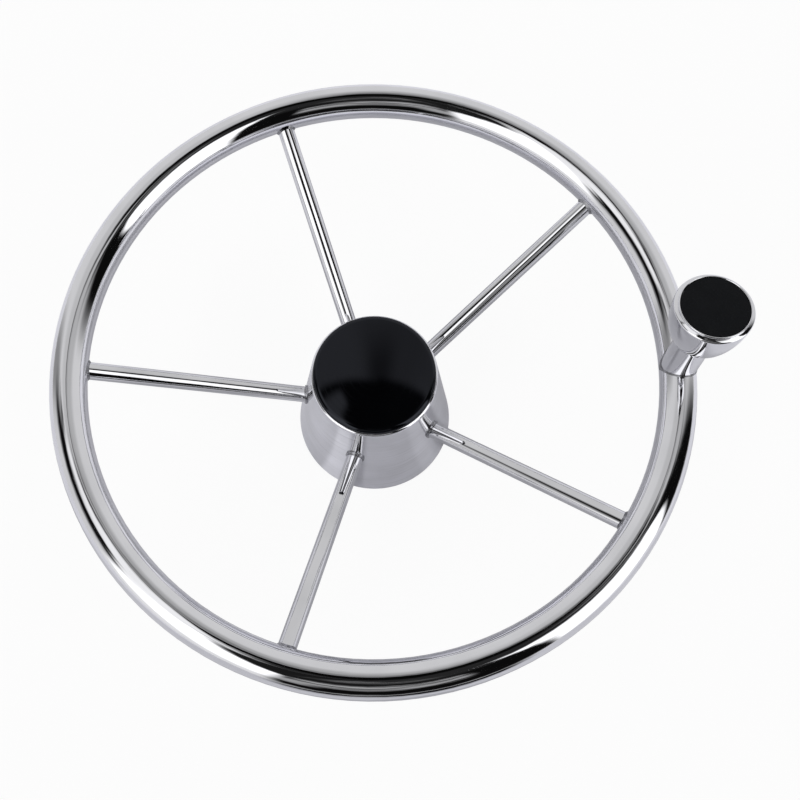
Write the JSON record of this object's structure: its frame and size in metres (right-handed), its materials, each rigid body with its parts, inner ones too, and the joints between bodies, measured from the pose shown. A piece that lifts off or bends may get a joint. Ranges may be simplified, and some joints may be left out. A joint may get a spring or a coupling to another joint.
{
  "type": "boat steering wheel",
  "caption": "Dished tubular steel steering wheel with round spokes, a conical hub with a tapered shaft hole and a black cap, and a spinner knob on the rim.",
  "frame": {"origin": "on the wheel axis in the plane of the hub foot, at the wide end of the tapered shaft hole", "axes": "+Z along the wheel axis from the shaft towards the helmsman, +X towards the spinner knob"},
  "size_m": [0.349, 0.3428, 0.1793],
  "materials": {
    "polished_steel": "mirror polished stainless steel",
    "satin_steel": "fine satin polished stainless steel, brushed round the cone",
    "turned_steel": "turned steel, unpolished",
    "weld": "ground weld bead",
    "fastener_steel": "plain stainless fastener",
    "bush_plastic": "natural bearing plastic",
    "insert_black": "fine grained black plastic",
    "cap_black": "glossy black plastic"
  },
  "bodies": {
    "wheel": {"rim_tube": "polished_steel", "spoke_1": "polished_steel", "spoke_2": "polished_steel", "spoke_3": "polished_steel", "spoke_4": "polished_steel", "spoke_5": "polished_steel", "rim_welds": "weld", "hub_cone": "satin_steel", "hub_welds": "weld", "hub_boss": "turned_steel", "hub_plate": "turned_steel", "plate_welds": "weld", "knob_post": "polished_steel", "post_weld": "weld", "knob_spindle": "fastener_steel", "head_washer": "fastener_steel"},
    "knob": {"knob_body": "polished_steel", "lower_bush": "bush_plastic", "upper_bush": "bush_plastic", "knob_insert": "insert_black"},
    "cap": {"centre_cap": "cap_black"}
  },
  "joints": [
    {"name": "knob_spin", "type": "hinge", "parent": "wheel", "child": "knob", "pos_m": [0.16193, 0, 0.1124], "axis": [-0.0519, 0.1254, 0.9907], "continuous": true},
    {"name": "cap_lift", "type": "slide", "parent": "wheel", "child": "cap", "axis": [0, 0, 1], "range_m": [0, 0.02]}
  ]
}
